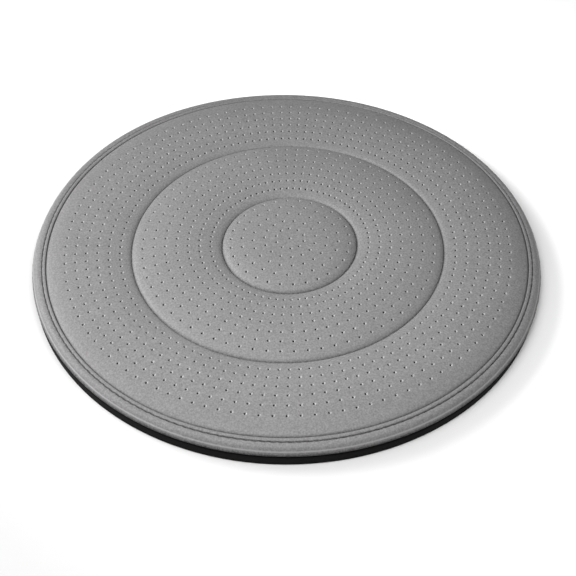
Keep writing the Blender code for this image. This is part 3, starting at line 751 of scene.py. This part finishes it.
class Finish:
    """A material and its nodes."""

    def __init__(self, name, **sockets):
        self.material = bpy.data.materials.new(name)
        self.material.use_nodes = True
        self.tree = self.material.node_tree
        self.shader = self.tree.nodes["Principled BSDF"]
        for socket, value in sockets.items():
            self.shader.inputs[socket.replace("_", " ")].default_value = value

    def node(self, kind, settings=None, inputs=None, output=0):
        """Add a node, set what it is, fill its sockets and give one of its outputs."""
        made = self.tree.nodes.new(kind)
        for name, value in (settings or {}).items():
            if name == "stops":
                self._stops(made.color_ramp, value)
            else:
                setattr(made, name, value)
        for socket, value in (inputs or {}).items():
            self.feed(made.inputs[socket], value)
        return Signal(self, made.outputs[output])

    @staticmethod
    def _stops(ramp, stops):
        while len(ramp.elements) < len(stops):
            ramp.elements.new(0.5)
        for element, (place, shade) in zip(ramp.elements, stops):
            element.position = place
            element.color = grey(shade)

    def feed(self, socket, value):
        """Link a signal to a socket, or set the socket to a value."""
        if isinstance(value, Signal):
            self.tree.links.new(value.socket, socket)
        else:
            socket.default_value = value

    def place(self):
        """The piece's own coordinates, in metres."""
        return self.node("ShaderNodeTexCoord", output="Object")

    def noise(self, scale, detail=3.0, roughness=0.5):
        """Cloudy noise, with features of about 1 / scale metres."""
        return self.node(
            "ShaderNodeTexNoise", None,
            {"Vector": self.place(), "Scale": scale, "Detail": detail, "Roughness": roughness},
        )

    def cells(self, scale, feature="F1"):
        """Distance to the nearest of the scattered cell centres or borders."""
        return self.node(
            "ShaderNodeTexVoronoi", {"feature": feature},
            {"Vector": self.place(), "Scale": scale}, "Distance",
        )

    def ramp(self, value, stops):
        """Map a signal through grey stops."""
        return self.node("ShaderNodeValToRGB", {"stops": stops}, {0: value}, "Color")

    def mix(self, share, first, second):
        """Blend two colours."""
        mixer = self.tree.nodes.new("ShaderNodeMix")
        mixer.data_type = "RGBA"
        for socket, value in ((0, share), (6, first), (7, second)):
            self.feed(mixer.inputs[socket], value)
        return Signal(self, mixer.outputs[2])

    def bump(self, height, strength, distance, below=None):
        """Relief of a height signal, over another relief if one is given."""
        inputs = {"Height": height, "Strength": strength, "Distance": distance}
        if below:
            inputs["Normal"] = below
        return self.node("ShaderNodeBump", None, inputs, "Normal")

    def wear(self, **sockets):
        """Feed the shader's changing sockets, and give the material."""
        for socket, value in sockets.items():
            self.feed(self.shader.inputs[socket.replace("_", " ")], value)
        return self.material


def grey(value, tint=(1.0, 1.0, 1.0)):
    """A grey with a slight tint, as a colour for a socket."""
    return (value * tint[0], value * tint[1], value * tint[2], 1.0)


LEATHER_TINT = (1.0, 0.985, 0.995)


def leather_finish(name, shade):
    """Matt grey leatherette: fine pebbled grain, faint cloudy tone and slightly varied gloss."""
    finish = Finish(name, Roughness=0.55, Specular_IOR_Level=0.35)
    pebbles = finish.cells(1100.0, "DISTANCE_TO_EDGE")
    fine = finish.noise(2600.0, 3.0, 0.6)
    cloud = finish.noise(28.0, 3.0, 0.55)
    mottle = finish.noise(750.0, 2.0, 0.6)
    tone = cloud * 0.12 + mottle * 1.3 - 0.05
    colour = finish.mix(tone, grey(shade * 0.4, LEATHER_TINT), grey(shade * 1.25, LEATHER_TINT))
    edge = finish.node("ShaderNodeAttribute", {"attribute_name": "edge_tone"}, output="Fac")
    # painted light and shade read from the stored tone: a painted highlight above 0, painted shade down
    # to near black below
    colour = finish.mix(edge.above(0.0) * edge * 0.7, colour, grey(shade * 1.9, LEATHER_TINT))
    colour = finish.mix(edge.below(0.0) * edge * (mottle * 1.5 - 1.6), colour, grey(0.008))
    height = finish.ramp(pebbles, ((0.0, 0.0), (0.35, 1.0)))
    relief = finish.bump(height, 0.25, 0.12 * MM)
    relief = finish.bump(fine, 0.3, 0.08 * MM, relief)
    return finish.wear(Base_Color=colour, Roughness=0.48 + cloud * 0.1 + fine * 0.12, Normal=relief)


def hole_shade_finish():
    """Painted shade in the perforations: near-black wall and floor."""
    finish = Finish("hole_painted_shade", Roughness=0.95, Specular_IOR_Level=0.1)
    grain = finish.noise(3000.0, 2.0)
    colour = finish.mix(grain, grey(0.004), grey(0.016))
    return finish.wear(Base_Color=colour)


def thread_finish():
    """Dark grey sewing thread with a twist."""
    finish = Finish("sewing_thread", Roughness=0.7, Specular_IOR_Level=0.3)
    twist = finish.noise(2200.0, 2.0)
    colour = finish.mix(twist, grey(0.012), grey(0.04))
    return finish.wear(Base_Color=colour, Normal=finish.bump(twist, 0.5, 0.15 * MM))


def cloth_finish():
    """Black non-slip cloth with a tight weave."""
    finish = Finish("grip_cloth", Roughness=0.9, Specular_IOR_Level=0.08)
    weave = finish.cells(1400.0)
    lint = finish.noise(420.0, 3.0)
    colour = finish.mix(lint, grey(0.004), grey(0.011))
    relief = finish.bump(weave, 0.5, 0.2 * MM)
    return finish.wear(Base_Color=colour, Roughness=0.75 + lint * 0.2, Normal=relief)


def dot_finish():
    """Black grip rubber with a dull bloom."""
    finish = Finish("grip_rubber", Roughness=0.7, Specular_IOR_Level=0.25)
    bloom = finish.noise(300.0, 3.0)
    colour = finish.mix(bloom, grey(0.01), grey(0.028))
    relief = finish.bump(finish.noise(3200.0, 2.0), 0.3, 0.05 * MM)
    return finish.wear(Base_Color=colour, Roughness=0.6 + bloom * 0.2, Normal=relief)


def moulding_finish():
    """Black moulded plastic with a sparked texture and faint flow marks."""
    finish = Finish("black_moulding", Roughness=0.45, Specular_IOR_Level=0.5)
    spark = finish.noise(2400.0, 2.0)
    flow = finish.noise(35.0, 4.0)
    colour = finish.mix(flow, grey(0.014), grey(0.026))
    relief = finish.bump(spark, 0.35, 0.08 * MM)
    return finish.wear(Base_Color=colour, Roughness=0.36 + flow * 0.2, Normal=relief)


def nylon_finish():
    """Off-white nylon, a little cloudy, with fine tool marks."""
    finish = Finish("white_nylon", Roughness=0.4, Specular_IOR_Level=0.45)
    cloud = finish.noise(120.0, 3.0)
    marks = finish.noise(1800.0, 2.0)
    colour = finish.mix(cloud, (0.62, 0.6, 0.53, 1.0), (0.76, 0.75, 0.69, 1.0))
    relief = finish.bump(marks, 0.2, 0.05 * MM)
    return finish.wear(Base_Color=colour, Roughness=0.32 + cloud * 0.16, Normal=relief)


def steel_finish(name, light, rough):
    """Bare or zinc-plated steel with fine rubbing marks."""
    finish = Finish(name, Metallic=1.0)
    marks = finish.noise(900.0, 4.0)
    colour = finish.mix(marks, grey(light * 0.85), grey(light))
    relief = finish.bump(marks, 0.1, 0.03 * MM)
    return finish.wear(Base_Color=colour, Roughness=rough * 0.7 + marks * rough * 0.6, Normal=relief)


def foam_finish():
    """Grey open-cell foam."""
    finish = Finish("grey_foam", Roughness=0.95, Specular_IOR_Level=0.1)
    pores = finish.cells(1000.0)
    colour = finish.mix(pores, grey(0.07), grey(0.2))
    return finish.wear(Base_Color=colour, Normal=finish.bump(pores, 0.8, 0.5 * MM))


def wadding_finish():
    """White fibre wadding."""
    finish = Finish("white_wadding", Roughness=0.95, Specular_IOR_Level=0.1)
    fibres = finish.noise(700.0, 5.0, 0.7)
    colour = finish.mix(fibres, grey(0.5), grey(0.82))
    return finish.wear(Base_Color=colour, Normal=finish.bump(fibres, 0.7, 0.5 * MM))


def elastic_finish():
    """Black braided elastic."""
    finish = Finish("black_elastic", Roughness=0.8)
    braid = finish.cells(1600.0)
    colour = finish.mix(braid, grey(0.012), grey(0.045))
    return finish.wear(Base_Color=colour, Normal=finish.bump(braid, 0.6, 0.2 * MM))


LEATHER = leather_finish("grey_leatherette", 0.173)
# the rim round each hole is a lighter leather: a painted highlight where the mouth catches the light
RIM = leather_finish("rim_painted_highlight", 0.26)
# near-black walls and floors of the holes: painted shade
PAINTED_HOLE_SHADE = hole_shade_finish()
THREAD = thread_finish()
CLOTH = cloth_finish()
DOTS = dot_finish()
MOULDING = moulding_finish()
NYLON = nylon_finish()
BALL_STEEL = steel_finish("ball_steel", 0.68, 0.2)
PLATED_STEEL = steel_finish("plated_steel", 0.55, 0.4)
FOAM = foam_finish()
WADDING = wadding_finish()
ELASTIC = elastic_finish()


def fit_out(piece, finish, body, nodes=(), angle=35.0):
    """Settle a new piece, give it its finish if it has none, hang it on its body and hide the solids it
    stands for.
    """
    settle(piece, angle)
    if not piece.data.materials:
        piece.data.materials.append(finish)
    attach(piece, body)
    if nodes:
        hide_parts(*nodes)
    return piece


panel = make_panel()
panel.data.materials.append(LEATHER)
perforate(panel, RIM, PAINTED_HOLE_SHADE)
fit_out(panel, LEATHER, "seat", ("top_panel",))
for face in panel.data.polygons:
    if panel.data.materials[face.material_index] == RIM:
        face.use_smooth = False
padding = fit_out(make_padding(), WADDING, "seat", ("panel_padding",), 60.0)
foam = fit_out(make_foam(), FOAM, "seat", ("foam_core",))
fit_out(make_band(), LEATHER, "seat", ("border_band",), 50.0)
fit_out(make_stitches(), THREAD, "seat", (), 60.0)
fit_out(make_drawcord(), ELASTIC, "seat", ("hem_drawcord",), 60.0)
fit_out(make_cover(), CLOTH, "base", ("base_cover",))
fit_out(make_dots(), DOTS, "base")

KEPT_NODES = {
    "lower_plate": MOULDING,
    "upper_plate": MOULDING,
    "ball_cage": NYLON,
    "pivot_bush": NYLON,
    "slide_washer": NYLON,
    "pivot_rivet": PLATED_STEEL,
    "pivot_washer": PLATED_STEEL,
}
for index in range(24):
    KEPT_NODES[f"ball_{index + 1:02d}"] = BALL_STEEL
for node, finish in KEPT_NODES.items():
    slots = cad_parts[node].material_slots
    for slot in slots:
        slot.material = finish

# Studio: white floor, soft light and the photograph's viewpoint.
ELEVATION = math.radians(46.203)
ROLL = math.radians(0.179)
DISTANCE = 1.03473
LENS = 82.24
LOOK = Vector((1.44 * MM, -28.427 * MM, 0.0))


def make_floor():
    """Wide white studio floor, with painted shade towards the front left, where the lights fall
    strongest.
    """
    let_go()
    bpy.ops.mesh.primitive_plane_add(size=8.0, location=(0, 0, -0.05 * MM))
    floor = named("studio_floor")
    bpy.ops.object.transform_apply(location=True, rotation=True, scale=True)
    finish = Finish("white_floor_painted_shade", Roughness=0.9, Specular_IOR_Level=0.0)
    across = finish.node(
        "ShaderNodeVectorMath", {"operation": "DOT_PRODUCT"},
        {0: finish.place(), 1: (0.7, 0.7, 0)}, "Value",
    )
    cloud = finish.noise(2.0, 2.0)
    # painted shade: the floor grows darker towards the front left to offset the stronger light there
    stops = ((0.2, 0.5), (0.45, 0.65), (0.7, 0.95), (1.0, 0.98))
    tone = finish.ramp(across + 0.5 + cloud * 0.02, stops)
    floor.data.materials.append(finish.wear(Base_Color=tone))


def make_camera():
    """Camera at the photograph's viewpoint."""
    back = Vector((0, -math.cos(ELEVATION), math.sin(ELEVATION)))
    right = Vector((1, 0, 0))
    up = Vector((0, math.sin(ELEVATION), math.cos(ELEVATION)))
    rolled_right = right * math.cos(ROLL) + up * math.sin(ROLL)
    rolled_up = up * math.cos(ROLL) - right * math.sin(ROLL)
    camera = bpy.data.objects.new("camera", bpy.data.cameras.new("camera"))
    camera.data.lens = LENS
    camera.data.sensor_width = 36.0
    turn = Matrix((rolled_right, rolled_up, back)).transposed().to_4x4()
    camera.matrix_world = Matrix.Translation(LOOK + back * DISTANCE) @ turn
    camera.data.clip_start = 0.01
    bpy.context.scene.collection.objects.link(camera)
    bpy.context.scene.camera = camera


def softbox(name, azimuth, elevation, distance, size, power):
    """Square soft light round the seat: degrees from +X and from the floor, aimed at the middle."""
    light = bpy.data.lights.new(name, "AREA")
    light.shape = "SQUARE"
    light.size = size
    light.energy = power
    turn, rise = math.radians(azimuth), math.radians(elevation)
    flat = distance * math.cos(rise)
    place = Vector((flat * math.cos(turn), flat * math.sin(turn), distance * math.sin(rise)))
    lamp = bpy.data.objects.new(name, light)
    lamp.location = place
    lamp.rotation_euler = (-place).to_track_quat("-Z", "Y").to_euler()
    bpy.context.scene.collection.objects.link(lamp)


make_floor()
make_camera()
softbox("key_light", 160, 30, 1.5, 0.8, 30.8)
softbox("left_fill", 195, 35, 1.5, 0.8, 6.6)
softbox("right_fill", 20, 25, 1.5, 0.8, 4.6)
softbox("front_left_fill", 250, 60, 0.7, 0.4, 2.6)
softbox("front_right_fill", 290, 60, 0.7, 0.4, 2.7)

world = bpy.data.worlds.new("studio")
world.use_nodes = True
world.node_tree.nodes["Background"].inputs["Color"].default_value = (1, 1, 1, 1)
world.node_tree.nodes["Background"].inputs["Strength"].default_value = 0.01
bpy.context.scene.world = world
bpy.context.scene.view_settings.view_transform = "Standard"
